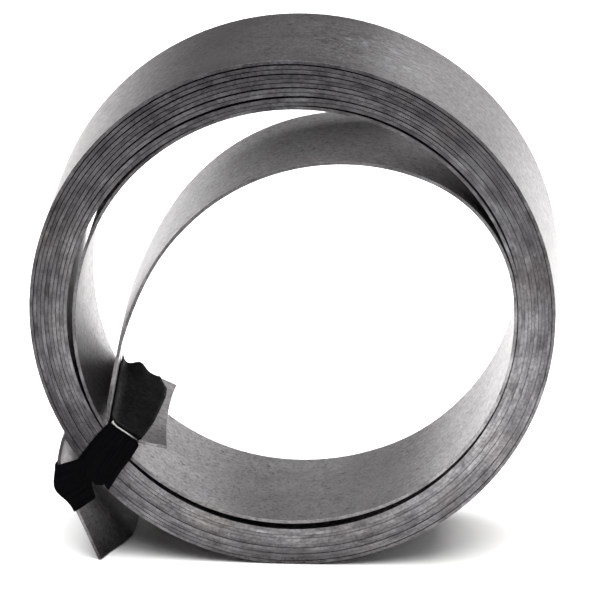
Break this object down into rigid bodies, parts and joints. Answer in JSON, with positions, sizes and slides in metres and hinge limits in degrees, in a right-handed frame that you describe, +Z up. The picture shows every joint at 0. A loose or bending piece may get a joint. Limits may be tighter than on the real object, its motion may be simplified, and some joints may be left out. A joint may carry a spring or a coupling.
{
  "type": "roll of steel strapping",
  "caption": "Flat steel strap wound into a short coil, its inner turn fallen loose across the bore, tied with black tape at the bent inner end and the sprung outer tail.",
  "frame": {"origin": "on the floor below the coil's centre, halfway along the roll's axis", "axes": "+Z up, +Y along the roll's axis away from the end seen in the picture, +X to the right of that end"},
  "size_m": [0.144, 0.0516, 0.1441],
  "materials": {
    "steel": "satin, dark mill finish",
    "tape": "gloss"
  },
  "bodies": {
    "root": {"steel_strap": "steel", "tape_tie": "tape"}
  },
  "joints": []
}
